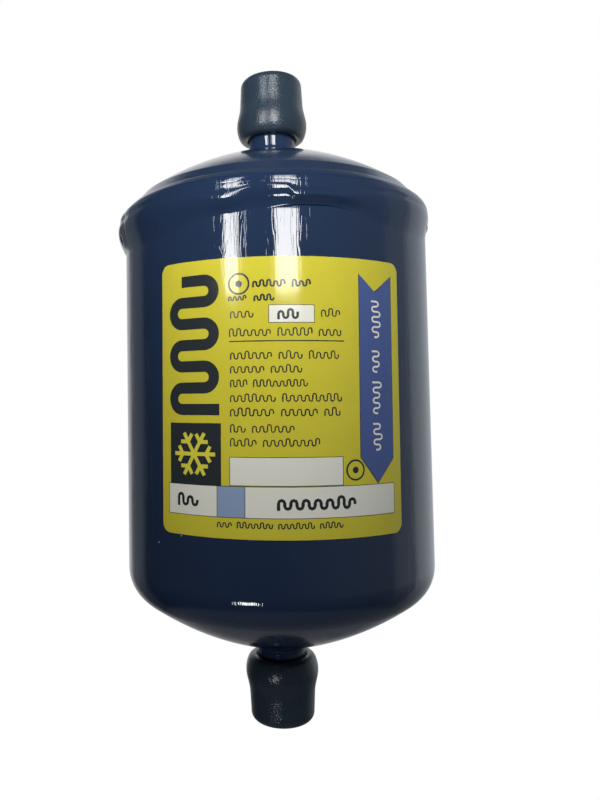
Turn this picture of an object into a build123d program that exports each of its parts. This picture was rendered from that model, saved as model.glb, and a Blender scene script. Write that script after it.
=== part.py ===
# Hermetic filter drier with a solid core, 10 mm solder sockets and push-on caps.
# Millimetres. The origin is the centre of the outlet socket's mouth, +Z runs along the
# drier towards the inlet, and the label faces -Y.
from build123d import *

import math
import os

os.makedirs("parts", exist_ok=True)

# Shell: a deep-drawn cup with a domed foot, and a pressed cover welded over its rim
shell_radius = 40.0
shell_wall = 1.5
cup_straight = 83.6  # from the foot's knuckle to the necked-in rim
knuckle_radius = 9.6
knuckle_slope = 36.4  # degrees, where the knuckle meets the crown
dome_depth = 20.7  # from the knuckle's top to the flat round the socket
boss_width = 2.9  # flat round each socket

# Joint between cup and cover
skirt_overhang = 0.7  # the cover's skirt beyond the cup
rim_clearance = 0.05
joggle_height = 2.0
joggle_round = 1.0
lip_gap = 0.4  # skirt's edge above the joggle
skirt_length = 4.0
rim_gap = 0.5  # cup's rim below the end of the skirt's straight

# Cover above its skirt, from the outside in
cover_knuckle_radius = 2.2
ramp_slope = 43.0  # degrees, as the slopes below
ramp_inset = 1.8  # from the skirt to the ramp's top
ledge_slope = 28.0
ledge_width = 0.6
step_slope = 48.0
step_width = 2.4
crown_edge_slope = 35.5
crown_rise = 12.3
pressing_round = 0.6

# Circumferential weld, which lies a little off centre
weld_offset = 0.55
weld_proud = 0.75  # beyond the cover's skirt
weld_crown_radius = 8.0
weld_drop = 1.9  # its widest place below the skirt's top
weld_top = 1.5  # above its widest place
weld_bite = 0.7  # depth into the steel

# Solder sockets
bore_radius = 5.05
bore_depth = 9.5
bore_stop = 1.05  # ledge that stops the tube
bore_chamfer = 0.3
socket_wall = 1.35
socket_reach = 19.1  # mouth to the flat on the dome
socket_chamfer = 0.4
flange_margin = 0.8  # flange's edge inside the flat
flange_thickness = 1.6
socket_fit = 0.05
braze_margin = 0.1

# Push-on caps, with their walls measured from the bore
cap_length = 16.9
cap_fit = 0.05
cap_end_wall = 1.6
cap_tip_wall = 1.8
cap_tip_round = 2.0
cap_waist_wall = 2.15
cap_waist_height = 9.9  # from the mouth, as the heights below
cap_bulge_wall = 3.1
cap_bulge_height = 4.4
cap_lip_wall = 2.4
cap_lip_height = 0.9
cap_face_wall = 0.9  # end of the flat face round the mouth
cap_mouth_chamfer = 0.4
outlet_cap_gap = 0.4  # socket's mouth to the cap's end wall
inlet_cap_gap = 1.6

# Label
label_width = 58.7  # round the shell
label_height = 60.1
label_thickness = 0.15
label_glue = 0.03
label_corner = 2.2
label_offset = 1.3  # its middle above the middle of the straight wall

# Core with its blind bore
core_clearance = 4.5  # to the cup's wall
core_length = 75.0
core_round = 3.0
core_bore_radius = 11.0
core_bore_depth = 55.0
core_bore_draft = 1.5  # degrees

# Support plate, screen, pad and gasket at the outlet
plate_thickness = 1.0
plate_clearance = 0.4  # rim to the cup's wall
plate_seat = 0.1  # rim's corner to the knuckle
plate_rim_height = 5.0
recess_margin = 10.0  # from the core's edge to the recess
recess_depth = 3.5
recess_draft = 1.2
plate_hole_radius = 2.0
plate_hole_rings = 2
plate_hole_margin = 2.8  # outer holes to the recess's wall
screen_thickness = 0.4
screen_clearance = 0.3
pad_clearance = 0.1
gasket_thickness = 1.5
gasket_margin = 1.0  # inside the core's edge
gasket_bore_margin = 2.0  # outside the core's bore

# Spring and its plate, which hold the core down
spring_plate_margin = 8.0  # inside the core's edge
spring_plate_thickness = 0.8
spring_plate_lip = 2.4
spring_plate_boss_height = 1.6
spring_wire_radius = 1.0
spring_turns = 2.5
spring_lip_clearance = 3.2  # wire to the plate's lip
spring_foot_clearance = 3.4  # wire to the boss's foot
spring_taper = 7.0  # foot's radius to the head's
spring_clearance = 0.1


def climb(start, end_radius, slope):
    """End of a straight run that climbs inwards at a slope in degrees."""
    rise = (start[0] - end_radius) * math.tan(math.radians(slope))
    return (end_radius, start[1] + rise)


def arc_radius_at(centre, radius, height):
    """Outer radius of an arc at a height, seen from the drier's axis."""
    return centre[0] + math.sqrt(radius**2 - (height - centre[1]) ** 2)


def revolved(name, profile):
    """A full turn of a closed profile about the drier's axis, as a labelled part."""
    with BuildPart() as piece:
        add(profile.sketch)
        revolve(axis=Axis.Z)
    piece.part.label = name
    return piece


# Heights along the axis, from the outlet socket's mouth upwards
outlet_flat = socket_reach
foot_tangent = outlet_flat + dome_depth
joggle_foot = foot_tangent + cup_straight
joggle_top = joggle_foot + joggle_height
skirt_bottom = joggle_top + lip_gap
skirt_top = skirt_bottom + skirt_length
rim_top = skirt_top - rim_gap

socket_radius = bore_radius + socket_wall
hole_radius = socket_radius + socket_fit
boss_radius = socket_radius + boss_width
cover_radius = shell_radius + skirt_overhang
rim_radius = cover_radius - shell_wall - rim_clearance
cavity_radius = shell_radius - shell_wall
core_radius = cavity_radius - core_clearance

# Body cup: the outside line from the outlet hole to the rim, thickened inwards
foot_angle = math.radians(knuckle_slope)
foot_centre = (shell_radius - knuckle_radius, foot_tangent)
foot_knuckle_end = (
    foot_centre[0] + knuckle_radius * math.sin(foot_angle),
    foot_centre[1] - knuckle_radius * math.cos(foot_angle),
)

with BuildSketch(Plane.XZ) as cup_profile:
    with BuildLine():
        TangentArc(
            foot_knuckle_end,
            (boss_radius, outlet_flat),
            tangent=(-math.cos(foot_angle), -math.sin(foot_angle)),
        )
        Line((boss_radius, outlet_flat), (hole_radius, outlet_flat))
        TangentArc((shell_radius, foot_tangent), foot_knuckle_end, tangent=(0, -1))
        Polyline(
            (shell_radius, foot_tangent),
            (shell_radius, joggle_foot),
            (rim_radius, joggle_top),
            (rim_radius, rim_top),
        )
        offset(amount=shell_wall, side=Side.RIGHT)
    make_face()
    fillet(cup_profile.vertices().sort_by_distance((shell_radius, joggle_foot))[0], joggle_round)
body_cup = revolved("body_cup", cup_profile)

# End cover: skirt, tight knuckle, ramp, ledge and step, then the crown up to its flat
ramp_angle = math.radians(ramp_slope)
crown_angle = math.radians(crown_edge_slope)
cover_knuckle_end = (
    cover_radius - cover_knuckle_radius * (1 - math.sin(ramp_angle)),
    skirt_top + cover_knuckle_radius * math.cos(ramp_angle),
)
ramp_end = climb(cover_knuckle_end, cover_radius - ramp_inset, ramp_slope)
ledge_end = climb(ramp_end, ramp_end[0] - ledge_width, ledge_slope)
step_end = climb(ledge_end, ledge_end[0] - step_width, step_slope)
inlet_flat = step_end[1] + crown_rise
inlet_mouth = inlet_flat + socket_reach

with BuildSketch(Plane.XZ) as cover_profile:
    with BuildLine():
        Line((cover_radius, skirt_bottom), (cover_radius, skirt_top))
        TangentArc((cover_radius, skirt_top), cover_knuckle_end, tangent=(0, 1))
        Polyline(cover_knuckle_end, ramp_end, ledge_end, step_end)
        cover_crown = TangentArc(
            step_end,
            (boss_radius, inlet_flat),
            tangent=(-math.cos(crown_angle), math.sin(crown_angle)),
        )
        Line((boss_radius, inlet_flat), (hole_radius, inlet_flat))
        offset(amount=shell_wall, side=Side.LEFT)
    make_face()
    for corner in (ramp_end, ledge_end, step_end):
        fillet(cover_profile.vertices().sort_by_distance(corner)[0], pressing_round)
end_cover = revolved("end_cover", cover_profile)

# Weld: a crowned bead round the skirt's edge, turned about its own axis beside the
# drier's, with the steel of both shells taken away from it
weld_radius = cover_radius + weld_proud
weld_middle = skirt_top - weld_drop
weld_centre = (weld_radius - weld_crown_radius, weld_middle)
weld_root = shell_radius - weld_bite
weld_foot = weld_middle - math.sqrt(weld_crown_radius**2 - (weld_root - weld_centre[0]) ** 2)
weld_shoulder = (
    arc_radius_at(weld_centre, weld_crown_radius, weld_middle + weld_top),
    weld_middle + weld_top,
)
weld_end = climb(weld_shoulder, cover_radius - weld_bite, ramp_slope)

weld_plane = Plane(origin=(-weld_offset, 0, 0), x_dir=(1, 0, 0), z_dir=(0, -1, 0))

with BuildPart() as seam_weld:
    with BuildSketch(weld_plane):
        with BuildLine():
            ThreePointArc((weld_root, weld_foot), (weld_radius, weld_middle), weld_shoulder)
            Polyline(
                weld_shoulder,
                weld_end,
                (weld_end[0], skirt_bottom),
                (weld_root, skirt_bottom),
                (weld_root, weld_foot),
            )
        make_face()
    revolve(axis=Axis(weld_plane.origin, (0, 0, 1)))
    add(body_cup.part, mode=Mode.SUBTRACT)
    add(end_cover.part, mode=Mode.SUBTRACT)
seam_weld.part.label = "seam_weld"


# Solder sockets: turned steel, with a flange inside the dome
passage_radius = bore_radius - bore_stop
flange_radius = boss_radius - flange_margin
flange_start = socket_reach + shell_wall
socket_length = flange_start + flange_thickness


def make_socket(name, mouth, way):
    """A socket with its mouth at a height, running way (+1 up, -1 down) into the shell."""

    def at(radius, depth):
        return (radius, mouth + way * depth)

    with BuildSketch(Plane.XZ) as profile:
        with BuildLine():
            Polyline(
                at(bore_radius + bore_chamfer, 0),
                at(bore_radius, bore_chamfer),
                at(bore_radius, bore_depth),
                at(passage_radius, bore_depth),
                at(passage_radius, socket_length),
                at(flange_radius, socket_length),
                at(flange_radius, flange_start),
                at(socket_radius, flange_start),
                at(socket_radius, socket_chamfer),
                at(socket_radius - socket_chamfer, 0),
                close=True,
            )
        make_face()
    return revolved(name, profile)


# Braze: a hollow fillet between each socket and the flat round it
braze_leg = boss_radius - socket_radius - braze_margin


def make_braze(name, flat, way):
    """The fillet on a flat at a height, on the side that faces way along the axis."""
    with BuildSketch(Plane.XZ) as profile:
        with BuildLine():
            corner = (socket_radius, flat)
            neck = (socket_radius, flat + way * braze_leg)
            toe = (socket_radius + braze_leg, flat)
            TangentArc(neck, toe, tangent=(0, -way))
            Polyline(toe, corner, neck)
        make_face()
    return revolved(name, profile)


# Push-on caps: soft mouldings with a rounded lip, a bulge behind it and a waist
cap_bore_radius = socket_radius + cap_fit
cap_tip_radius = cap_bore_radius + cap_tip_wall
cap_waist_radius = cap_bore_radius + cap_waist_wall
cap_bulge_radius = cap_bore_radius + cap_bulge_wall
cap_lip_radius = cap_bore_radius + cap_lip_wall
cap_face_radius = cap_bore_radius + cap_face_wall


def make_cap(name, mouth, way):
    """A cap with its mouth at a height and its closed end way (+1 up, -1 down) from it."""

    def at(radius, depth):
        return (radius, mouth + way * depth)

    taper = (cap_tip_radius - cap_waist_radius, way * (cap_length - cap_waist_height))
    with BuildSketch(Plane.XZ) as profile:
        with BuildLine():
            lip = TangentArc(
                at(cap_face_radius, 0), at(cap_lip_radius, cap_lip_height), tangent=(1, 0)
            )
            Spline(
                at(cap_lip_radius, cap_lip_height),
                at(cap_bulge_radius, cap_bulge_height),
                at(cap_waist_radius, cap_waist_height),
                tangents=(lip % 1, taper),
            )
            Polyline(
                at(cap_waist_radius, cap_waist_height),
                at(cap_tip_radius, cap_length),
                at(0, cap_length),
                at(0, cap_length - cap_end_wall),
                at(cap_bore_radius, cap_length - cap_end_wall),
                at(cap_bore_radius, cap_mouth_chamfer),
                at(cap_bore_radius + cap_mouth_chamfer, 0),
                at(cap_face_radius, 0),
            )
        make_face()
        tip = profile.vertices().sort_by_distance(at(cap_tip_radius, cap_length))[0]
        fillet(tip, cap_tip_round)
    return revolved(name, profile)


inlet_cap_mouth = inlet_mouth + inlet_cap_gap + cap_end_wall - cap_length
outlet_cap_mouth = cap_length - cap_end_wall - outlet_cap_gap

inlet_socket = make_socket("inlet_socket", inlet_mouth, -1)
outlet_socket = make_socket("outlet_socket", 0, 1)
inlet_braze = make_braze("inlet_braze", inlet_flat, 1)
outlet_braze = make_braze("outlet_braze", outlet_flat, -1)
inlet_cap = make_cap("inlet_cap", inlet_cap_mouth, 1)
outlet_cap = make_cap("outlet_cap", outlet_cap_mouth, -1)

# Label: a film wrapped round the front of the cup, its corners rounded
label_radius = shell_radius + label_glue
label_middle = foot_tangent + cup_straight / 2 + label_offset
label_turn = math.degrees(label_width / shell_radius)
label_start = math.radians(-90 - label_turn / 2)
label_plane = Plane(
    origin=(0, 0, label_middle),
    x_dir=(math.cos(label_start), math.sin(label_start), 0),
    z_dir=(math.sin(label_start), -math.cos(label_start), 0),
)

with BuildPart() as label:
    with BuildSketch(label_plane):
        with Locations((label_radius + label_thickness / 2, 0)):
            Rectangle(label_thickness, label_height)
    revolve(axis=Axis.Z, revolution_arc=label_turn)
    fillet(label.edges().group_by(SortBy.LENGTH)[0], label_corner)
label.part.label = "label"

# Support plate: its rim's corner sits on the inside of the foot's knuckle
plate_radius = cavity_radius - plate_clearance
plate_underside = foot_tangent - math.sqrt(
    (knuckle_radius - shell_wall) ** 2 - (plate_radius + plate_seat - foot_centre[0]) ** 2
)
plate_top = plate_underside + plate_thickness
recess_floor = plate_top - recess_depth
recess_radius = core_radius - recess_margin
recess_floor_radius = recess_radius - recess_draft
plate_hole_reach = recess_floor_radius - plate_hole_radius - plate_hole_margin

with BuildSketch(Plane.XZ) as plate_profile:
    with BuildLine():
        Polyline(
            (0, recess_floor),
            (recess_floor_radius, recess_floor),
            (recess_radius, plate_top),
            (plate_radius - plate_thickness, plate_top),
            (plate_radius - plate_thickness, plate_top + plate_rim_height),
        )
        offset(amount=plate_thickness, side=Side.RIGHT)
    make_face()

with BuildPart() as support_plate:
    add(plate_profile.sketch)
    revolve(axis=Axis.Z)
    with BuildSketch(Plane.XY.offset(recess_floor)):
        Circle(plate_hole_radius)
        for ring in range(1, plate_hole_rings + 1):
            with PolarLocations(plate_hole_reach * ring / plate_hole_rings, 6 * ring):
                Circle(plate_hole_radius)
    extrude(amount=-2 * plate_thickness, mode=Mode.SUBTRACT)
support_plate.part.label = "support_plate"

# Screen and pad in the plate's recess
screen_radius = recess_floor_radius - screen_clearance

with BuildPart() as mesh_screen:
    with BuildSketch(Plane.XY.offset(recess_floor)):
        Circle(screen_radius)
    extrude(amount=screen_thickness)
mesh_screen.part.label = "mesh_screen"

pad_bottom = recess_floor + screen_thickness
with BuildPart() as filter_pad:
    with BuildSketch(Plane.XY.offset(pad_bottom)):
        Circle(screen_radius)
    extrude(amount=plate_top - pad_clearance - pad_bottom)
filter_pad.part.label = "filter_pad"

with BuildPart() as core_gasket:
    with BuildSketch(Plane.XY.offset(plate_top)):
        Circle(core_radius - gasket_margin)
        Circle(core_bore_radius + gasket_bore_margin, mode=Mode.SUBTRACT)
    extrude(amount=gasket_thickness)
core_gasket.part.label = "core_gasket"

# Core: a moulded block with a drafted blind bore that opens on the gasket
core_bottom = plate_top + gasket_thickness
core_top = core_bottom + core_length
core_bore_end = core_bottom + core_bore_depth
core_bore_tip = core_bore_radius - core_bore_depth * math.tan(math.radians(core_bore_draft))

with BuildSketch(Plane.XZ) as core_profile:
    with BuildLine():
        Polyline(
            (core_bore_radius, core_bottom),
            (core_radius, core_bottom),
            (core_radius, core_top),
            (0, core_top),
            (0, core_bore_end),
            (core_bore_tip, core_bore_end),
            close=True,
        )
    make_face()
    for corner in ((core_radius, core_top), (core_bore_tip, core_bore_end)):
        fillet(core_profile.vertices().sort_by_distance(corner)[0], core_round)
desiccant_core = revolved("desiccant_core", core_profile)

# Spring plate: a pressed dish on the core, with a boss that centres the spring
spring_seat = core_top + spring_plate_thickness
spring_plate_wall = core_radius - spring_plate_margin - spring_plate_thickness
spring_foot_radius = spring_plate_wall - spring_lip_clearance - spring_wire_radius
boss_foot = spring_foot_radius - spring_wire_radius - spring_foot_clearance
boss_top = boss_foot - spring_plate_boss_height
with BuildSketch(Plane.XZ) as spring_plate_profile:
    with BuildLine():
        Polyline(
            (0, spring_seat + spring_plate_boss_height),
            (boss_top, spring_seat + spring_plate_boss_height),
            (boss_foot, spring_seat),
            (spring_plate_wall, spring_seat),
            (spring_plate_wall, spring_seat + spring_plate_lip),
        )
        offset(amount=spring_plate_thickness, side=Side.RIGHT)
    make_face()
spring_plate = revolved("spring_plate", spring_plate_profile)

# Spring: a conical coil from the plate up to the inside of the cover's crown
crown_centre = cover_crown.arc_center
crown_reach = cover_crown.radius - shell_wall - spring_wire_radius - spring_clearance
spring_foot = spring_seat + spring_wire_radius
spring_head_radius = spring_foot_radius - spring_taper
spring_head = crown_centre.Y + math.sqrt(
    crown_reach**2 - (spring_head_radius - crown_centre.X) ** 2
)
spring_height = spring_head - spring_foot
spring_cone = math.degrees(math.atan2(spring_head_radius - spring_foot_radius, spring_height))

with BuildPart() as core_spring:
    with BuildLine():
        coil = Helix(
            pitch=spring_height / spring_turns,
            height=spring_height,
            radius=spring_foot_radius,
            center=(0, 0, spring_foot),
            cone_angle=spring_cone,
        )
    with BuildSketch(Plane(origin=coil @ 0, z_dir=coil % 0)):
        Circle(spring_wire_radius)
    sweep(path=coil, is_frenet=True)
core_spring.part.label = "core_spring"

pieces = (
    body_cup,
    end_cover,
    seam_weld,
    inlet_socket,
    outlet_socket,
    inlet_braze,
    outlet_braze,
    inlet_cap,
    outlet_cap,
    label,
    support_plate,
    mesh_screen,
    filter_pad,
    core_gasket,
    desiccant_core,
    spring_plate,
    core_spring,
)
for piece in pieces:
    export_step(piece.part, f"parts/{piece.part.label}.step")
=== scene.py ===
import math
import random

import bmesh
import bpy
from mathutils import Matrix, Vector


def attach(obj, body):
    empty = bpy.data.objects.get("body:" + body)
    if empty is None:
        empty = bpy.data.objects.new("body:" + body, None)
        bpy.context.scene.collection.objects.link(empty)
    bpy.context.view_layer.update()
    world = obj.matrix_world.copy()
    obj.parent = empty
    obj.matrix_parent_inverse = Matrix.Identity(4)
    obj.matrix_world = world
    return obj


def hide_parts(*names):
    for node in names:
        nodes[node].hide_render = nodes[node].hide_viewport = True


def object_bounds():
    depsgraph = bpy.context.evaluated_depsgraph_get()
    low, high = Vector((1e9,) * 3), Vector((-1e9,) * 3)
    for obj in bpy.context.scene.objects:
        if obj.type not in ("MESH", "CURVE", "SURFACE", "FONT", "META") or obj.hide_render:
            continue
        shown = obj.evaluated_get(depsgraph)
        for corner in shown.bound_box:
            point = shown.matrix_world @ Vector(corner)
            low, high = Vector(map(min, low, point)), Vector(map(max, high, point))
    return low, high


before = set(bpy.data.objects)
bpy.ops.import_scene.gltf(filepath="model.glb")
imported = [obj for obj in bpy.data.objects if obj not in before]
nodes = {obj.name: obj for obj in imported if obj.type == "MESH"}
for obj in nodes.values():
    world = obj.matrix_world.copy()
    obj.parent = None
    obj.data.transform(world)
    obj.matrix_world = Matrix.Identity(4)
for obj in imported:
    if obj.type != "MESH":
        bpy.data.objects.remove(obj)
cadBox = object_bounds()
mm = 0.001
print("frame loaded:", len(nodes), "nodes")


def srgb(code):
    # hex colour to linear values with alpha
    channels = [int(code[i:i + 2], 16) / 255 for i in (1, 3, 5)]
    linear = [c / 12.92 if c <= 0.04045 else ((c + 0.055) / 1.055) ** 2.4 for c in channels]
    return (*linear, 1.0)


def addNode(tree, kind, settings=None, links=None):
    # settings: attributes, input values or ramp stops; links: input to output socket
    node = tree.nodes.new(kind)
    for key, value in (settings or {}).items():
        if key == "stops":
            elements = node.color_ramp.elements
            while len(elements) < len(value):
                elements.new(1.0)
            for element, (place, colour) in zip(elements, value):
                element.position = place
                element.color = colour
        elif isinstance(key, int) or key in node.inputs:
            node.inputs[key].default_value = value
        else:
            setattr(node, key, value)
    for key, socket in (links or {}).items():
        tree.links.new(socket, node.inputs[key])
    return node


def newMaterial(name):
    material = bpy.data.materials.new(name)
    material.use_nodes = True
    tree = material.node_tree
    tree.nodes.clear()
    return material, tree


def finishMaterial(tree, shader):
    addNode(tree, "ShaderNodeOutputMaterial", links={"Surface": shader.outputs[0]})


def patternCoords(tree, across, along=None):
    # Object coordinates divided by a pattern's size in mm, across and along the axis
    coords = addNode(tree, "ShaderNodeTexCoord")
    along = along or across
    return addNode(
        tree, "ShaderNodeMapping",
        {"Scale": (1 / (across * mm), 1 / (across * mm), 1 / (along * mm))},
        {"Vector": coords.outputs["Object"]},
    ).outputs[0]


def stackBumps(tree, fields):
    # fields: (height socket, depth in mm), laid one on another
    normal = None
    for height, depth in fields:
        links = {"Height": height}
        if normal is not None:
            links["Normal"] = normal
        normal = addNode(
            tree, "ShaderNodeBump", {"Strength": 1.0, "Distance": depth * mm}, links
        ).outputs[0]
    return normal


def finishSurface(tree, share, tones, bumps, settings):
    # two colours mixed by a pattern's value, with the bumps laid on
    tone = addNode(
        tree, "ShaderNodeMix",
        {"data_type": "RGBA", 6: srgb(tones[0]), 7: srgb(tones[1])}, {0: share},
    )
    shader = addNode(
        tree, "ShaderNodeBsdfPrincipled", settings,
        {"Base Color": tone.outputs[2], "Normal": stackBumps(tree, bumps)},
    )
    finishMaterial(tree, shader)


cameraValues = {
    "place": (-3.30, -187.15, 81.56),  # mm
    "turn": 2.156,  # degrees about Z, then pitch and roll
    "pitch": 2.689,
    "roll": 0.969,
    "picture": (600, 800),  # pixels, across and down
    "focalPixels": 688.27,
    "centre": (238.34, 370.13),  # where the lens's axis meets the picture
    "sensor": 36.0,  # mm
    "clipStart": 5.0,
}


def makeCamera(v):
    data = bpy.data.cameras.new("camera")
    camera = bpy.data.objects.new("camera", data)
    bpy.context.scene.collection.objects.link(camera)
    turn = (
        Matrix.Rotation(math.radians(v["turn"]), 4, "Z")
        @ Matrix.Rotation(math.radians(v["pitch"]), 4, "X")
        @ Matrix.Rotation(math.radians(v["roll"]), 4, "Y")
        @ Matrix.Rotation(math.radians(90), 4, "X")
    )
    camera.matrix_world = Matrix.Translation(Vector(v["place"]) * mm) @ turn
    width, height = v["picture"]
    data.sensor_fit = "VERTICAL"
    data.sensor_height = v["sensor"]
    data.lens = v["focalPixels"] / height * v["sensor"]
    data.shift_x = (width / 2 - v["centre"][0]) / height
    data.shift_y = (v["centre"][1] - height / 2) / height
    data.clip_start = v["clipStart"] * mm
    bpy.context.scene.camera = camera


makeCamera(cameraValues)

# The room: a white sweep behind, grey panels at the sides and a dim front
worldValues = {
    "round": (  # degrees from straight behind, right positive, and the grey there
        (-180, "#2c2f34"), (-66, "#2c2f34"), (-60, "#7c8086"), (-38, "#7c8086"),
        (-33, "#d8dadc"), (-14, "#e4e6e8"), (-8, "#ffffff"), (8, "#ffffff"),
        (14, "#c4ccd4"), (40, "#d4dce2"), (66, "#d4dce2"),
        (70, "#969ea6"), (92, "#969ea6"), (96, "#6c7278"), (140, "#5a6066"), (180, "#2c2f34"),
    ),
    "up": (  # degrees above the horizon, and the grey that dims the room there
        (-90, "#ffffff"), (38, "#ffffff"), (47, "#848484"), (62, "#646464"), (90, "#6c6c6c"),
    ),
}


def addRoundRamp(tree, direction, v):
    # the room's grey in the direction that a vector points, seen from above
    parts = addNode(tree, "ShaderNodeSeparateXYZ", links={0: direction})
    turn = addNode(
        tree, "ShaderNodeMath", {"operation": "ARCTAN2"},
        {0: parts.outputs["X"], 1: parts.outputs["Y"]},
    )
    share = addNode(
        tree, "ShaderNodeMapRange", {"From Min": -math.pi, "From Max": math.pi},
        {"Value": turn.outputs[0]},
    )
    ramp = addNode(
        tree, "ShaderNodeValToRGB",
        {"stops": [((a + 180) / 360, srgb(c)) for a, c in v["round"]]},
        {0: share.outputs[0]},
    )
    return ramp.outputs[0]


def makeWorld(v):
    world = bpy.data.worlds.new("studio")
    bpy.context.scene.world = world
    world.use_nodes = True
    tree = world.node_tree
    tree.nodes.clear()
    coords = addNode(tree, "ShaderNodeTexCoord")
    parts = addNode(tree, "ShaderNodeSeparateXYZ", links={0: coords.outputs["Generated"]})
    rise = addNode(
        tree, "ShaderNodeMath", {"operation": "ARCSINE"}, {0: parts.outputs["Z"]}
    )
    riseShare = addNode(
        tree, "ShaderNodeMapRange", {"From Min": -math.pi / 2, "From Max": math.pi / 2},
        {"Value": rise.outputs[0]},
    )
    upRamp = addNode(
        tree, "ShaderNodeValToRGB",
        {"stops": [((a + 90) / 180, srgb(c)) for a, c in v["up"]]},
        {0: riseShare.outputs[0]},
    )
    product = addNode(
        tree, "ShaderNodeMix", {"data_type": "RGBA", "blend_type": "MULTIPLY", 0: 1.0},
        {6: addRoundRamp(tree, coords.outputs["Generated"], v), 7: upRamp.outputs[0]},
    )
    # seen directly, the room is white paper all round
    rays = addNode(tree, "ShaderNodeLightPath")
    seen = addNode(
        tree, "ShaderNodeMix", {"data_type": "RGBA", 7: srgb("#ffffff")},
        {0: rays.outputs["Is Camera Ray"], 6: product.outputs[2]},
    )
    background = addNode(
        tree, "ShaderNodeBackground", {"Strength": 1.0}, {"Color": seen.outputs[2]}
    )
    addNode(tree, "ShaderNodeOutputWorld", links={"Surface": background.outputs[0]})


makeWorld(worldValues)

# Two tall strip lamps in front, and a small one below for the glint under the shell
lampValues = {
    "distance": 180.0,  # mm from the drier's axis
    "spread": 118.0,  # degrees
    "strips": {  # azimuth and width in degrees from the axis, ends in mm, radiance
        "left": (-27.8, 9.4, 128.0, 300.0, 7.4),
        "right": (6.9, 14.3, 128.0, 300.0, 7.4),
        "foot": (-22.0, 10.0, -44.0, -27.0, 12.0),
    },
}


def makeStrip(name, v, azimuth, width, low, high, radiance):
    angle = math.radians(azimuth)
    centre = Vector((
        v["distance"] * math.sin(angle), -v["distance"] * math.cos(angle), (low + high) / 2
    ))
    data = bpy.data.lights.new(name, "AREA")
    data.shape = "RECTANGLE"
    data.size = 2 * v["distance"] * math.tan(math.radians(width / 2)) * mm
    data.size_y = (high - low) * mm
    data.energy = radiance * math.pi * data.size * data.size_y
    data.spread = math.radians(v["spread"])
    lamp = bpy.data.objects.new(name, data)
    bpy.context.scene.collection.objects.link(lamp)
    # the lamp shines along its own -Z, towards the axis
    lamp.matrix_world = (
        Matrix.Translation(centre * mm)
        @ Matrix.Rotation(angle, 4, "Z")
        @ Matrix.Rotation(math.radians(90), 4, "X")
    )
    lamp.visible_camera = False


for side, strip in lampValues["strips"].items():
    makeStrip("strip." + side, lampValues, *strip)

# A painted board under the drier, and a lit paper sweep all round it
floorValues = {
    "drop": 300.0,  # mm below the drier, which hangs by its sockets
    "size": 9000.0,
    "cells": 8,  # a side
    "colour": "#dcdcdc",
    "roughness": 0.9,
    "sweepStart": 420.0,  # mm from the drier's foot, where the board gives way to the sweep
    "sweepEnd": 520.0,
    "paleness": 0.8,  # share of the paper's white over the board, seen directly
    "shade": 0.1,  # share of the room's brightness mirrored close by
    "shadeEnd": 1400.0,  # mm from the foot, where it mirrors the whole
}


def makeBoard(v):
    material, tree = newMaterial("paintedBoard")
    # seen or mirrored, the sweep is as bright as the room behind it
    coords = addNode(tree, "ShaderNodeTexCoord")
    reach = addNode(
        tree, "ShaderNodeVectorMath", {"operation": "LENGTH"},
        {0: coords.outputs["Object"]},
    )
    sweep = addNode(
        tree, "ShaderNodeMapRange",
        {"interpolation_type": "SMOOTHSTEP", "From Min": v["sweepStart"] * mm,
         "From Max": v["sweepEnd"] * mm},
        {"Value": reach.outputs["Value"]},
    )
    rays = addNode(tree, "ShaderNodeLightPath")
    seen = rays.outputs["Is Camera Ray"]
    for kind in ("Is Glossy Ray", "Is Transmission Ray"):
        seen = addNode(
            tree, "ShaderNodeMath", {"operation": "MAXIMUM"}, {0: seen, 1: rays.outputs[kind]}
        ).outputs[0]
    # seen directly, the board is nearly as pale as the paper and keeps a soft shadow
    pale = addNode(
        tree, "ShaderNodeMath", {"operation": "MULTIPLY", 1: v["paleness"]},
        {0: rays.outputs["Is Camera Ray"]},
    )
    reached = addNode(
        tree, "ShaderNodeMath", {"operation": "MAXIMUM"},
        {0: sweep.outputs[0], 1: pale.outputs[0]},
    )
    share = addNode(
        tree, "ShaderNodeMath", {"operation": "MULTIPLY"},
        {0: seen, 1: reached.outputs[0]},
    )
    # mirrored close under the drier it is in shade
    shade = addNode(
        tree, "ShaderNodeMapRange",
        {"From Min": v["sweepStart"] * mm, "From Max": v["shadeEnd"] * mm,
         "To Min": v["shade"]},
        {"Value": reach.outputs["Value"]},
    )
    shaded = addNode(
        tree, "ShaderNodeMix", {"data_type": "RGBA", 6: (0.0, 0.0, 0.0, 1.0)},
        {0: shade.outputs[0],
         7: addRoundRamp(tree, coords.outputs["Object"], worldValues)},
    )
    tone = addNode(
        tree, "ShaderNodeMix", {"data_type": "RGBA", 7: srgb("#ffffff")},
        {0: rays.outputs["Is Camera Ray"], 6: shaded.outputs[2]},
    )
    board = addNode(
        tree, "ShaderNodeBsdfPrincipled",
        {"Base Color": srgb(v["colour"]), "Roughness": v["roughness"]},
    )
    paper = addNode(
        tree, "ShaderNodeEmission", {"Strength": 1.0}, {"Color": tone.outputs[2]}
    )
    shader = addNode(
        tree, "ShaderNodeMixShader",
        links={0: share.outputs[0], 1: board.outputs[0], 2: paper.outputs[0]},
    )
    finishMaterial(tree, shader)
    return material


def makeFloor(v):
    bm = bmesh.new()
    bmesh.ops.create_grid(
        bm, x_segments=v["cells"], y_segments=v["cells"], size=v["size"] / 2 * mm
    )
    bmesh.ops.translate(bm, vec=(0, 0, cadBox[0][2] - v["drop"] * mm), verts=bm.verts)
    mesh = bpy.data.meshes.new("floor")
    bm.to_mesh(mesh)
    bm.free()
    floor = bpy.data.objects.new("floor", mesh)
    bpy.context.scene.collection.objects.link(floor)
    mesh.materials.append(makeBoard(v))


makeFloor(floorValues)
print("camera, room, lamps and floor are in place")

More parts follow.
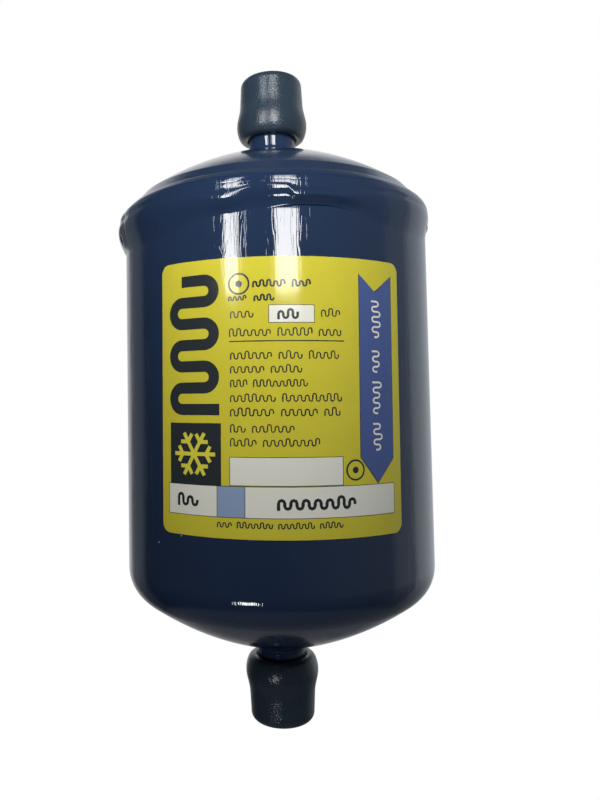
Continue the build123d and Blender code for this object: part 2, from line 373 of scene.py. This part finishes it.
# Polyester powder coat on drawn and pressed steel: deep navy and very glossy, with orange
# peel and long wavy draw lines that break up the reflections.
paintValues = {
    "colour": "#21314b",
    "deepColour": "#1e2c45",
    "roughness": 0.05,
    "ior": 1.6,
    "peelSize": 1.4,  # mm, orange peel
    "peelDepth": 0.004,
    "lineAcross": 3.0,  # mm, the noise whose contours are the draw lines
    "lineAlong": 30.0,
    "lineContours": 8.0,
    "lineWidth": 0.3,  # share of the way from one contour to the next
    "lineDepth": 0.0056,
    "swellSize": 11.0,  # mm, slow waves in the sheet
    "swellDepth": 0.03,
    "speckPitch": 9.0,  # mm between possible dust specks
    "speckSize": 0.018,  # their radius, share of the pitch
    "speckColour": "#b9bdc4",
}


def makePaint(v):
    material, tree = newMaterial("glossPowderCoat")
    peel = addNode(
        tree, "ShaderNodeTexNoise", {"Scale": 1.0, "Detail": 2.0},
        {"Vector": patternCoords(tree, v["peelSize"])},
    ).outputs[0]
    swell = addNode(
        tree, "ShaderNodeTexNoise", {"Scale": 1.0, "Detail": 1.0},
        {"Vector": patternCoords(tree, v["swellSize"])},
    ).outputs[0]
    grain = addNode(
        tree, "ShaderNodeTexNoise", {"Scale": 1.0, "Detail": 3.0, "Roughness": 0.42},
        {"Vector": patternCoords(tree, v["lineAcross"], v["lineAlong"])},
    ).outputs[0]
    # the noise, scaled up and folded to 0 .. 0.5, is zero along each contour
    contours = addNode(
        tree, "ShaderNodeMath", {"operation": "MULTIPLY", 1: v["lineContours"] * 2}, {0: grain}
    )
    ridge = addNode(
        tree, "ShaderNodeMath", {"operation": "PINGPONG", 1: 0.5}, {0: contours.outputs[0]}
    )
    lines = addNode(
        tree, "ShaderNodeMapRange",
        {"interpolation_type": "SMOOTHSTEP", "From Max": v["lineWidth"]},
        {"Value": ridge.outputs[0]},
    ).outputs[0]
    normal = stackBumps(
        tree, ((swell, v["swellDepth"]), (peel, v["peelDepth"]), (lines, v["lineDepth"]))
    )
    cells = addNode(
        tree, "ShaderNodeTexVoronoi", {"Scale": 1.0},
        {"Vector": patternCoords(tree, v["speckPitch"])},
    )
    speck = addNode(
        tree, "ShaderNodeMath", {"operation": "LESS_THAN", 1: v["speckSize"]},
        {0: cells.outputs["Distance"]},
    )
    tone = addNode(
        tree, "ShaderNodeMix",
        {"data_type": "RGBA", 6: srgb(v["colour"]), 7: srgb(v["deepColour"])}, {0: swell},
    )
    dusty = addNode(
        tree, "ShaderNodeMix", {"data_type": "RGBA", 7: srgb(v["speckColour"])},
        {0: speck.outputs[0], 6: tone.outputs[2]},
    )
    shader = addNode(
        tree, "ShaderNodeBsdfPrincipled", {"Roughness": v["roughness"], "IOR": v["ior"]},
        {"Base Color": dusty.outputs[2], "Normal": normal},
    )
    finishMaterial(tree, shader)
    return material


paint = makePaint(paintValues)

# Dipped vinyl: soft blue-black caps whose fine grained skin sparkles under the lamps
vinylValues = {
    "colour": "#27333f",
    "paleColour": "#2e3a45",
    "roughness": 0.19,
    "grainSize": 0.44,  # mm
    "grainDepth": 0.1,
    "waveSize": 4.0,
    "waveDepth": 0.05,
}


def makeVinyl(v):
    material, tree = newMaterial("dippedVinyl")
    grain = addNode(
        tree, "ShaderNodeTexNoise", {"Scale": 1.0, "Detail": 3.0},
        {"Vector": patternCoords(tree, v["grainSize"])},
    ).outputs[0]
    wave = addNode(
        tree, "ShaderNodeTexNoise", {"Scale": 1.0, "Detail": 1.0},
        {"Vector": patternCoords(tree, v["waveSize"])},
    ).outputs[0]
    finishSurface(
        tree, wave, (v["colour"], v["paleColour"]),
        ((wave, v["waveDepth"]), (grain, v["grainDepth"])),
        {"Roughness": v["roughness"], "IOR": 1.5},
    )
    return material


vinyl = makeVinyl(vinylValues)

# Inner pieces. Rolled and pressed steel: grey-white metal with faint rolling lines
steelValues = {
    "colour": "#a9a9a6",
    "darkColour": "#8f8f8d",
    "roughness": 0.34,
    "lineAcross": 0.35,  # mm
    "lineAlong": 14.0,
    "lineDepth": 0.006,
}

# Woven wire cloth: bright crossed wires over gaps painted dark as shade, drawn on a plain disc
clothValues = {
    "colour": "#b4b3ae",
    # painted shade: the dark colour of the openings between the wires
    "shadedGapColour": "#3a3b3b",
    "pitch": 0.7846,  # mm from wire to wire, coarser than real cloth so that it shows
    "depth": 0.12,
    "roughness": 0.36,
    "bandScale": math.pi / 10,  # of a wave texture that repeats once in each unit
}

# Oil-tempered spring wire: near-black blue scale over drawn lines
springValues = {
    "colour": "#4a4d53",
    "darkColour": "#34373d",
    "roughness": 0.38,
    "scaleSize": 1.6,  # mm
    "scaleDepth": 0.01,
}

# Moulded desiccant: chalky beads of sieve and alumina fused into one porous block, with
# painted shade in the pits between the beads
coreValues = {
    "colour": "#d9d2c3",
    # painted shade: the darker colour of the pits between the beads
    "shadedPitColour": "#b3a892",
    "beadSize": 1.3,  # mm
    "beadDepth": 0.25,
    "grainSize": 0.3,
    "grainDepth": 0.05,
    "roughness": 0.88,
}

# Felted glass fibre: pale matted fibres with a soft nap
fibreValues = {
    "pad": ("#e6e2d4", "#c9c3ae"),  # pale and deep
    "gasket": ("#c8bfa6", "#a99f84"),
    "fibreAcross": 0.3,  # mm
    "fibreAlong": 3.5,
    "fibreTurns": (25, 80, 145),  # degrees, the ways that the layers lie
    "depth": 0.12,
    "roughness": 0.95,
    "nap": 0.3,
}


def makeSteel(v):
    material, tree = newMaterial("pressedSteel")
    lines = addNode(
        tree, "ShaderNodeTexNoise", {"Scale": 1.0, "Detail": 3.0},
        {"Vector": patternCoords(tree, v["lineAcross"], v["lineAlong"])},
    ).outputs[0]
    finishSurface(
        tree, lines, (v["darkColour"], v["colour"]), ((lines, v["lineDepth"]),),
        {"Roughness": v["roughness"], "Metallic": 1.0},
    )
    return material


def makeCloth(v):
    material, tree = newMaterial("wovenWireCloth")
    wires = [
        addNode(
            tree, "ShaderNodeTexWave",
            {"wave_type": "BANDS", "bands_direction": direction, "Scale": v["bandScale"]},
            {"Vector": patternCoords(tree, v["pitch"])},
        ).outputs[1]
        for direction in ("X", "Y")
    ]
    height = addNode(
        tree, "ShaderNodeMath", {"operation": "MAXIMUM"}, {0: wires[0], 1: wires[1]}
    ).outputs[0]
    # the gaps between the wires take the dark colour, which is painted shade
    finishSurface(
        tree, height, (v["shadedGapColour"], v["colour"]), ((height, v["depth"]),),
        {"Roughness": v["roughness"], "Metallic": 1.0},
    )
    return material


def makeSpringSteel(v):
    material, tree = newMaterial("oilTemperedSpringSteel")
    scale = addNode(
        tree, "ShaderNodeTexNoise", {"Scale": 1.0, "Detail": 4.0},
        {"Vector": patternCoords(tree, v["scaleSize"])},
    ).outputs[0]
    finishSurface(
        tree, scale, (v["darkColour"], v["colour"]), ((scale, v["scaleDepth"]),),
        {"Roughness": v["roughness"], "Metallic": 1.0},
    )
    return material


def makeCore(v):
    material, tree = newMaterial("mouldedDesiccant")
    cells = addNode(
        tree, "ShaderNodeTexVoronoi", {"Scale": 1.0, "Randomness": 0.9},
        {"Vector": patternCoords(tree, v["beadSize"])},
    )
    # highest at each cell's middle, and pits where the cells meet; the pits take the darker
    # colour, which is painted shade
    bead = addNode(
        tree, "ShaderNodeMapRange", {"From Max": 0.8, "To Min": 1.0, "To Max": 0.0},
        {"Value": cells.outputs["Distance"]},
    ).outputs[0]
    grain = addNode(
        tree, "ShaderNodeTexNoise", {"Scale": 1.0, "Detail": 3.0},
        {"Vector": patternCoords(tree, v["grainSize"])},
    ).outputs[0]
    finishSurface(
        tree, bead, (v["shadedPitColour"], v["colour"]),
        ((bead, v["beadDepth"]), (grain, v["grainDepth"])),
        {"Roughness": v["roughness"], "IOR": 1.5},
    )
    return material


def makeFibre(name, colours, v):
    material, tree = newMaterial(name)
    coords = addNode(tree, "ShaderNodeTexCoord")
    across, along = 1 / (v["fibreAcross"] * mm), 1 / (v["fibreAlong"] * mm)
    height = None
    for turn in v["fibreTurns"]:
        laid = addNode(
            tree, "ShaderNodeMapping",
            {"Rotation": (0.0, 0.0, math.radians(turn)), "Scale": (across, along, across)},
            {"Vector": coords.outputs["Object"]},
        )
        layer = addNode(
            tree, "ShaderNodeTexNoise", {"Scale": 1.0, "Detail": 2.0},
            {"Vector": laid.outputs[0]},
        ).outputs[0]
        height = layer if height is None else addNode(
            tree, "ShaderNodeMath", {"operation": "MAXIMUM"}, {0: height, 1: layer}
        ).outputs[0]
    finishSurface(
        tree, height, (colours[1], colours[0]), ((height, v["depth"]),),
        {"Roughness": v["roughness"], "IOR": 1.5, "Sheen Weight": v["nap"]},
    )
    return material


def dress(material, *names):
    for name in names:
        materials = nodes[name].data.materials
        materials.clear()
        materials.append(material)


dress(paint, "body_cup", "end_cover", "seam_weld", "inlet_socket", "outlet_socket",
      "inlet_braze", "outlet_braze")
dress(vinyl, "inlet_cap", "outlet_cap")
dress(makeSteel(steelValues), "support_plate", "spring_plate")
dress(makeCloth(clothValues), "mesh_screen")
dress(makeSpringSteel(springValues), "core_spring")
dress(makeCore(coreValues), "desiccant_core")
dress(makeFibre("feltedGlassFibre", fibreValues["pad"], fibreValues), "filter_pad")
dress(makeFibre("pressedFibreBoard", fibreValues["gasket"], fibreValues), "core_gasket")
print("materials are on the CAD pieces")

# Printed polyester film: glossy and slightly wavy over the adhesive, with a pale cut edge
filmValues = {
    "width": 58.9,  # mm, round the shell
    "height": 60.6,
    "shift": (0.35, -0.3),  # of its centre from the print's
    "corner": 2.2,
    "thickness": 0.15,
    "radius": 40.18,  # its printed face
    "middle": 82.9,  # height of the print's centre
    "turn": -0.648,  # degrees, as it was stuck on
    "bendStep": 1.0,  # mm between the cuts that let it bend
    "bendStart": 0.0013,  # so that no cut meets a corner
    "sink": 0.01,  # inks start this far under the film's face
    "ink": 0.018,  # thickness of one layer of ink
    "colour": "#d0c53c",
    "deepColour": "#c8bd38",
    "edgeColour": "#e8e4c4",
    "roughness": 0.12,
    "edgeRoughness": 0.5,
    "inkRoughness": 0.2,
    "mottleSize": 3.0,
    "mottleDepth": 0.01,
    "waveAcross": 1.6,  # mm, waves in the adhesive
    "waveAlong": 7.0,
    "waveDepth": 0.012,
}

# Screen-printed inks: flat opaque colours, a little less glossy than the film
inkValues = {
    "dark": "#2b3033",
    "white": "#e4e3d6",
    "blue": "#4a5c92",
    "greyBlue": "#8b9fbc",
    "yellow": "#dcd246",
}


def makeFilmMaterial(name, v, tones, roughness):
    material, tree = newMaterial(name)
    mottle = addNode(
        tree, "ShaderNodeTexNoise", {"Scale": 1.0, "Detail": 3.0},
        {"Vector": patternCoords(tree, v["mottleSize"])},
    ).outputs[0]
    wave = addNode(
        tree, "ShaderNodeTexNoise", {"Scale": 1.0, "Detail": 2.0},
        {"Vector": patternCoords(tree, v["waveAcross"], v["waveAlong"])},
    ).outputs[0]
    finishSurface(
        tree, mottle, tones, ((wave, v["waveDepth"]), (mottle, v["mottleDepth"])),
        {"Roughness": roughness, "IOR": 1.5},
    )
    return material


def rollOn(bm, v):
    # flat millimetres (right, up, out) to the shell's front, turned as the film is
    turn = Matrix.Rotation(math.radians(v["turn"]), 3, "Z")
    bmesh.ops.rotate(bm, cent=(0, 0, 0), matrix=turn, verts=bm.verts)
    for vert in bm.verts:
        angle = vert.co.x / v["radius"]
        reach = v["radius"] + vert.co.z
        vert.co = Vector((
            reach * math.sin(angle), -reach * math.cos(angle), v["middle"] + vert.co.y
        )) * mm


def cutForBend(bm, v):
    xs = [vert.co.x for vert in bm.verts]
    cut = math.ceil(min(xs) / v["bendStep"]) * v["bendStep"]
    while cut < max(xs):
        bmesh.ops.bisect_plane(
            bm, geom=bm.verts[:] + bm.edges[:] + bm.faces[:], dist=1e-6,
            plane_co=(cut + v["bendStart"], 0, 0), plane_no=(1, 0, 0),
        )
        cut += v["bendStep"]


def thicken(bm, faces, height):
    grown = bmesh.ops.extrude_face_region(bm, geom=faces)["geom"]
    tops = [item for item in grown if isinstance(item, bmesh.types.BMVert)]
    bmesh.ops.translate(bm, vec=(0, 0, height), verts=tops)


def addPlate(bm, outline, low, height, corner=0.0):
    # a closed flat plate from its outline, its corners rounded where a radius is given
    verts = [bm.verts.new((x, y, low)) for x, y in outline]
    face = bm.faces.new(verts)
    if corner:
        rounded = bmesh.ops.bevel(
            bm, geom=verts, offset=corner, offset_type="OFFSET", segments=6, profile=0.5,
            affect="VERTICES", material=-1,
        )
        face = max({f for vert in rounded["verts"] for f in vert.link_faces},
                   key=lambda f: f.calc_area())
    thicken(bm, [face], height)


def addBox(bm, left, right, bottom, top, low, height, corner=0.0):
    corners = ((left, bottom), (right, bottom), (right, top), (left, top))
    addPlate(bm, corners, low, height, corner)


def finishPiece(bm, name, materials):
    bmesh.ops.remove_doubles(bm, verts=bm.verts, dist=1e-8)
    bmesh.ops.recalc_face_normals(bm, faces=bm.faces)
    mesh = bpy.data.meshes.new(name)
    bm.to_mesh(mesh)
    bm.free()
    for material in materials:
        mesh.materials.append(material)
    piece = bpy.data.objects.new(name, mesh)
    bpy.context.scene.collection.objects.link(piece)
    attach(piece, "drier")
    return piece


def makeFilm(v):
    bm = bmesh.new()
    halfWidth, halfHeight = v["width"] / 2, v["height"] / 2
    shiftX, shiftY = v["shift"]
    addBox(
        bm, shiftX - halfWidth, shiftX + halfWidth, shiftY - halfHeight, shiftY + halfHeight,
        -v["thickness"], v["thickness"], v["corner"],
    )
    bmesh.ops.recalc_face_normals(bm, faces=bm.faces)
    for face in bm.faces:
        face.material_index = 1 if abs(face.normal.z) < 0.5 else 0  # 1 is the cut edge
    cutForBend(bm, v)
    rollOn(bm, v)
    printed = makeFilmMaterial(
        "printedPolyesterFilm", v, (v["colour"], v["deepColour"]), v["roughness"]
    )
    edge = makeFilmMaterial(
        "cutFilmEdge", v, (v["edgeColour"], v["deepColour"]), v["edgeRoughness"]
    )
    film = finishPiece(bm, "label.film", (printed, edge))
    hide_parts("label")


makeFilm(filmValues)
print("label film is on the shell")

# The print: plain shapes in the places of the printed fields, in mm right of and above the
# print's centre. Boxes and lines are given as left, right, bottom, top.
printValues = {
    "coil": {"left": -26.6, "right": -13.4, "bottom": -4.2, "pitch": 4.75, "runs": 7,
             "stroke": 2.5},
    "square": (-26.44, -13.06, -19.49, -5.91),
    "flake": {"centre": (-19.75, -12.7), "reach": 5.3, "stroke": 0.85,
              "fork": 0.58,  # share of the reach
              "forkLength": 2.0,
              "lift": 0.002},  # between bars that cross
    "divider": (-11.08, 14.27, 11.6, 11.85),
    "pressureBox": (-2.25, 7.46, 15.71, 19.37),
    "openBox": (-11.01, 13.60, -19.16, -13.26),
    "strip": (-26.83, 27.29, -26.0, -19.5),
    "stripCells": (-14.06, -7.72),  # where the strip's cells part
    "outline": 0.14,  # dark line round each box
    "arrow": ((18.18, 26.64), (18.06, -13.39), (22.69, -19.23), (27.26, -13.79),
              (27.38, 26.81), (22.47, 22.87)),
    "arrowCentre": (22.7, 4.0),
    "rings": ((-8.83, 24.2, 2.21), (16.67, -16.14, 2.1)),  # centre and radius
    "ringStroke": 0.4,
    "ringSteps": 40,
    "ringDot": 0.34,  # share of the ring's radius
    "ringDotSteps": 24,
    "textStroke": 0.29,
    "boldStroke": 0.44,
    "widestStroke": 0.62,  # share of the pitch
    "textHeight": 1.93,  # of the line that the pitch and strokes are set for
    "letterPitch": 1.62,  # from one letter to the next, each of two strokes
    "wordGap": 1.7,  # in strokes' pitches
    "wordStrokes": (5, 13),
    "leastStrokes": 7,  # a shorter rest of a line joins the word before it
    "tallShare": 0.35,  # of the strokes, the others are lower
    "lowHeight": 0.82,
    "bendSteps": (4, 14),  # for small and large strokes
    "largePitch": 3.0,
    "lines": (  # left, right, bottom, top, bold
        (-5.88, 7.10, 23.3, 25.1, True),
        (-11.25, -6.6, 20.5, 21.8, True), (-5.6, -1.0, 20.3, 21.95, True),
        (-10.81, -5.2, 16.73, 18.68, False),
        (9.02, 14.13, 16.89, 18.85, False), (-11.06, 14.06, 12.71, 14.64, False),
        (-10.86, 13.27, 7.78, 9.71, False), (-10.88, 4.93, 4.82, 6.74, False),
        (-10.90, 6.20, 1.82, 3.53, False), (-10.92, 14.08, -1.40, 0.52, False),
        (-10.94, 14.04, -4.48, -2.46, False), (-10.96, 3.51, -7.96, -6.05, False),
        (-10.98, 9.13, -10.93, -9.03, False), (-14.09, 13.90, -28.3, -26.8, False),
    ),
    "boxLines": (  # the same, on the white fields
        (-0.5, 4.2, 16.3, 18.75, True), (-24.3, -17.6, -24.2, -21.2, True),
        (-0.9, 17.0, -24.4, -21.3, True),
    ),
    "arrowLines": (  # the same, before the print is turned to read downwards
        (-21.0, -11.9, 21.4, 24.1, False), (-9.9, 12.9, 21.4, 24.1, False),
    ),
    "seed": 7,
}


def addSquiggle(bm, v, left, bottom, height, pitch, strokes, width, low, draw, place):
    # A run of joined upright strokes: an edge is drawn along each stroke and spun over
    # to the next one. Without random draws all strokes are tall.
    radius = pitch / 2
    smallSteps, largeSteps = v["bendSteps"]
    bendSteps = smallSteps if pitch < v["largePitch"] else largeSteps
    x = left + width / 2
    ends = [bm.verts.new(place @ Vector((x + side * width / 2, bottom, low)))
            for side in (-1, 1)]
    edge = bm.edges.new(ends)
    y = bottom
    for stroke in range(strokes):
        up = stroke % 2 == 0
        tall = draw is None or draw.random() < v["tallShare"]
        reach = height * (1.0 if tall else v["lowHeight"])
        target = bottom + (reach - radius - width / 2 if up else radius + width / 2)
        grown = bmesh.ops.extrude_edge_only(bm, edges=[edge])["geom"]
        verts = [item for item in grown if isinstance(item, bmesh.types.BMVert)]
        shift = place.to_3x3() @ Vector((0, target - y, 0))
        bmesh.ops.translate(bm, vec=shift, verts=verts)
        edge = [item for item in grown if isinstance(item, bmesh.types.BMEdge)
                and all(vert in verts for vert in item.verts)][0]
        y = target
        if stroke == strokes - 1:
            break
        spun = bmesh.ops.spin(
            bm, geom=[edge] + list(edge.verts), cent=place @ Vector((x + radius, y, low)),
            axis=place.to_3x3() @ Vector((0, 0, 1)), steps=bendSteps,
            angle=-math.pi if up else math.pi,
        )["geom_last"]
        edge = [item for item in spun if isinstance(item, bmesh.types.BMEdge)][0]
        x += pitch


def addTextRun(bm, v, line, low, draw, place=Matrix.Identity(4)):
    # words of joined strokes that fill a line from left to right
    left, right, bottom, top, bold = line
    height = top - bottom
    pitch = v["letterPitch"] * height / v["textHeight"] / 2
    width = v["boldStroke"] if bold else v["textStroke"]
    width = min(width * max(1.0, height / v["textHeight"]), pitch * v["widestStroke"])
    x = left
    while x < right - pitch:
        room = int((right - x - width) / pitch) + 1
        strokes = min(draw.randint(*v["wordStrokes"]), room)
        if room - strokes < v["leastStrokes"]:
            strokes = room
        addSquiggle(bm, v, x, bottom, height, pitch, strokes, width, low, draw, place)
        x += (strokes - 1) * pitch + width + pitch * v["wordGap"]


def addRing(bm, v, x, y, radius, low):
    # a ring with a dot in its middle
    half = v["ringStroke"] / 2
    ends = [bm.verts.new((x + radius + side * half, y, low)) for side in (-1, 1)]
    stroke = bm.edges.new(ends)
    bmesh.ops.spin(
        bm, geom=[stroke] + ends, cent=(x, y, 0), axis=(0, 0, 1), steps=v["ringSteps"],
        angle=2 * math.pi, use_merge=True,
    )
    bmesh.ops.create_circle(
        bm, cap_ends=True, segments=v["ringDotSteps"], radius=radius * v["ringDot"],
        matrix=Matrix.Translation((x, y, low)),
    )


def darkInk(bm, v, low, height):
    draw = random.Random(v["seed"])
    coil = v["coil"]
    # the coil's runs lie across the label, so its squiggle is turned a quarter
    quarter = (
        Matrix.Translation((coil["right"], coil["bottom"], 0))
        @ Matrix.Rotation(math.radians(90), 4, "Z")
    )
    addSquiggle(
        bm, v, 0.0, 0.0, coil["right"] - coil["left"], coil["pitch"], coil["runs"],
        coil["stroke"], low, None, quarter,
    )
    for line in v["lines"]:
        addTextRun(bm, v, line, low, draw)
    for x, y, radius in v["rings"]:
        addRing(bm, v, x, y, radius, low)
    thicken(bm, bm.faces[:], height)
    addBox(bm, *v["square"], low, height)
    addBox(bm, *v["divider"], low, height)
    edge = v["outline"]
    for left, right, bottom, top in (v["pressureBox"], v["openBox"], v["strip"]):
        addBox(bm, left - edge, right + edge, bottom - edge, top + edge, low, height)
    middleX, middleY = v["arrowCentre"]
    grown = [
        (x + math.copysign(edge, x - middleX), y + math.copysign(edge, y - middleY))
        for x, y in v["arrow"]
    ]
    addPlate(bm, grown, low, height)


def whiteInk(bm, v, low, height):
    left, right, bottom, top = v["strip"]
    first, second = v["stripCells"]
    gap = v["outline"] / 2
    addBox(bm, *v["pressureBox"], low, height)
    addBox(bm, *v["openBox"], low, height)
    addBox(bm, left, first - gap, bottom, top, low, height)
    addBox(bm, second + gap, right, bottom, top, low, height)


def greyBlueInk(bm, v, low, height):
    first, second = v["stripCells"]
    gap = v["outline"] / 2
    bottom, top = v["strip"][2:]
    addBox(bm, first + gap, second - gap, bottom, top, low, height)


def blueInk(bm, v, low, height):
    addPlate(bm, v["arrow"], low, height)


def crystalInk(bm, v, low, height):
    # a snow crystal: three bars through the centre, with a fork near each end
    flake = v["flake"]
    half, lift = flake["stroke"] / 2, flake["lift"]
    sixth = math.radians(60)
    for turn in range(6):
        before = set(bm.verts)
        if turn < 3:
            addBox(bm, -flake["reach"], flake["reach"], -half, half, low, height + turn * lift)
        for side in (-1, 1):
            start = set(bm.verts)
            addBox(bm, -half, flake["forkLength"], -half, half, low, height - lift)
            bmesh.ops.transform(
                bm, verts=[vert for vert in bm.verts if vert not in start],
                matrix=Matrix.Translation((flake["reach"] * flake["fork"], 0, 0))
                @ Matrix.Rotation(side * sixth, 4, "Z"),
            )
        bmesh.ops.transform(
            bm, verts=[vert for vert in bm.verts if vert not in before],
            matrix=Matrix.Translation((*flake["centre"], 0))
            @ Matrix.Rotation(turn * sixth, 4, "Z"),
        )


def boxInk(bm, v, low, height):
    draw = random.Random(v["seed"] + 1)
    for line in v["boxLines"]:
        addTextRun(bm, v, line, low, draw)
    thicken(bm, bm.faces[:], height)


def arrowInk(bm, v, low, height):
    draw = random.Random(v["seed"] + 2)
    # reads downwards, so it is turned a quarter clockwise
    quarter = Matrix.Rotation(math.radians(-90), 4, "Z")
    for line in v["arrowLines"]:
        addTextRun(bm, v, line, low, draw, quarter)
    thicken(bm, bm.faces[:], height)


def makeInk(v, name, colour, build, layer):
    # layer 1 lies on the film, and each later one on the layer before it
    film = filmValues
    bm = bmesh.new()
    low = (layer - 1) * film["ink"] - film["sink"]
    build(bm, v, low, film["ink"] + film["sink"])
    cutForBend(bm, film)
    rollOn(bm, film)
    tones = (inkValues[colour], inkValues[colour])
    material = makeFilmMaterial("printInk." + name, film, tones, film["inkRoughness"])
    finishPiece(bm, "label.print." + name, (material,))


for ink in (
    ("dark", "dark", darkInk, 1),
    ("white", "white", whiteInk, 2),
    ("greyBlue", "greyBlue", greyBlueInk, 2),
    ("blue", "blue", blueInk, 2),
    ("crystal", "yellow", crystalInk, 2),
    ("boxes", "dark", boxInk, 3),
    ("arrow", "white", arrowInk, 3),
):
    makeInk(printValues, *ink)
print("label print is on the film")

# The seam: one run of weld under the paint. At the front it is a low wandering ridge, and
# it stops at the left in a blunt lump with a pit.
weldValues = {
    "inner": 39.3,  # mm from the axis, its root in the steel
    "shell": 39.97,  # where its foot meets the shell, just under the surface
    "rows": (14, 14, 8),  # foot to ridge, ridge to shoulder, shoulder to top
    "steps": 480,
    "ring": (2.0, 1.0),  # mm, the outer rows' and the root's radius before they are placed
    # degrees from the front, then radius and height of the ridge, height and bluntness of
    # the foot, and radius and height of the shoulder and of the top
    "round": (
        (-180, (41.2, 127.2), (121.8, 0.6), (41.0, 129.2), (39.85, 131.3)),
        (-125, (41.6, 127.0), (121.4, 0.9), (41.25, 129.2), (39.85, 131.3)),
        (-92, (41.95, 126.7), (121.2, 1.0), (41.5, 129.2), (39.85, 131.3)),
        (-75, (41.95, 126.8), (121.0, 1.0), (41.5, 129.2), (39.85, 131.3)),
        (-67, (41.3, 127.3), (120.4, 0.3), (41.0, 129.2), (39.85, 131.3)),
        (-45, (41.05, 127.4), (119.0, 0.0), (40.82, 129.1), (40.4, 130.4)),
        (-16, (41.25, 126.5), (122.6, 0.0), (40.8, 128.6), (40.5, 129.8)),
        (-4, (41.1, 128.3), (123.0, 0.0), (40.8, 129.2), (40.5, 129.8)),
        (3, (41.1, 127.8), (123.8, 0.0), (40.8, 129.0), (40.5, 129.8)),
        (6, (41.3, 126.1), (124.2, 0.1), (40.8, 128.4), (40.5, 129.8)),
        (15, (41.25, 126.3), (124.2, 0.1), (40.8, 128.4), (40.5, 129.8)),
        (45, (41.0, 127.6), (120.0, 0.0), (40.85, 129.0), (40.4, 130.4)),
        (66, (40.95, 128.0), (120.5, 0.0), (40.85, 129.2), (39.85, 131.1)),
        (78, (40.87, 128.2), (123.2, 0.4), (40.8, 129.3), (39.85, 131.1)),
        (102, (40.87, 128.2), (123.2, 0.5), (40.8, 129.3), (39.85, 131.1)),
        (180, (41.2, 127.2), (121.8, 0.6), (41.0, 129.2), (39.85, 131.3)),
    ),
    "wander": 0.12,  # mm, how far the ridge wavers up and down
    "waves": ((1.0, 11, 0), (0.6, 29, 40)),  # share, times round, degrees of shift
    "pits": (  # degrees, height, half width, half height and depth in mm; a lump below 0
        (-73.5, 124.2, 1.1, 1.7, 0.42), (-69.0, 125.2, 0.5, 0.9, -0.18),
        (73.0, 127.0, 0.6, 1.3, 0.16), (77.0, 126.0, 0.5, 1.0, -0.1),
        (-34.0, 127.0, 0.8, 0.6, -0.05), (21.0, 126.8, 1.0, 0.6, 0.05),
    ),
}


def ease(t):
    return t * t * (3 - 2 * t)


def weldSection(v, turn):
    # ridge, foot, shoulder and top at a turn, eased from one row of the table to the next
    for before, after in zip(v["round"], v["round"][1:]):
        if before[0] <= turn <= after[0]:
            break
    part = ease((turn - before[0]) / (after[0] - before[0]))
    ridge, foot, shoulder, top = (
        [a + (b - a) * part for a, b in zip(first, second)]
        for first, second in zip(before[1:], after[1:])
    )
    ridge[1] += v["wander"] * sum(
        share * math.sin(math.radians(turn * times + shift))
        for share, times, shift in v["waves"]
    )
    return ridge, foot, shoulder, top


def weldPoint(v, turn, level):
    # radius and height of the weld's skin: level 0 is the foot, 1 the ridge, 2 the shoulder
    # and 3 the top
    ridge, foot, shoulder, top = weldSection(v, turn)
    climb = min(level - int(min(level, 2.0)), 1.0)  # the way from one level to the next
    soft = ease(climb)
    if level < 1:
        rounded = math.sin(climb * math.pi / 2)
        radius = v["shell"] + (ridge[0] - v["shell"]) * (soft + (rounded - soft) * foot[1])
        height = foot[0] + (ridge[1] - foot[0]) * climb
    elif level < 2:
        radius = ridge[0] + (shoulder[0] - ridge[0]) * soft
        height = ridge[1] + (shoulder[1] - ridge[1]) * climb
    else:
        radius = top[0] + (shoulder[0] - top[0]) * math.cos(climb * math.pi / 2)
        height = shoulder[1] + (top[1] - shoulder[1]) * math.sin(climb * math.pi / 2)
    return radius, height


def pitted(v, turn, radius, height):
    # the skin's radius with the pits and lumps in it
    for place, middle, across, along, depth in v["pits"]:
        distance = math.hypot(
            math.radians(turn - place) * radius / across, (height - middle) / along
        )
        if distance < 1:
            radius -= depth * (1 - distance * distance) ** 2
    return radius


def makeWeld(v):
    bm = bmesh.new()
    # a plain ring first, with levels for heights, and then each vertex goes to its place
    outerRing, rootRing = v["ring"]
    levels = [stage + i / count for stage, count in enumerate(v["rows"]) for i in range(count)]
    rows = [bm.verts.new((0, -outerRing, level)) for level in levels + [3.0]]
    rows += [bm.verts.new((0, -rootRing, level)) for level in (3.0, 0.0)]
    edges = [bm.edges.new(pair) for pair in zip(rows, rows[1:] + rows[:1])]
    bmesh.ops.spin(
        bm, geom=rows + edges, cent=(0, 0, 0), axis=(0, 0, 1), angle=2 * math.pi,
        steps=v["steps"], use_merge=True,
    )
    bmesh.ops.remove_doubles(bm, verts=bm.verts, dist=1e-4)
    for vert in bm.verts:
        x, y, level = vert.co
        turn = math.degrees(math.atan2(x, -y))
        radius, height = weldPoint(v, turn, level)
        if math.hypot(x, y) > (outerRing + rootRing) / 2:
            radius = pitted(v, turn, radius, height)
        else:
            radius = v["inner"]
        angle = math.radians(turn)
        vert.co = Vector((radius * math.sin(angle), -radius * math.cos(angle), height)) * mm
    for face in bm.faces:
        face.smooth = True
    weld = finishPiece(bm, "seam_weld.run", (paint,))
    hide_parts("seam_weld")


makeWeld(weldValues)
print("weld is on the seam")

bpy.context.scene.view_settings.view_transform = "Standard"
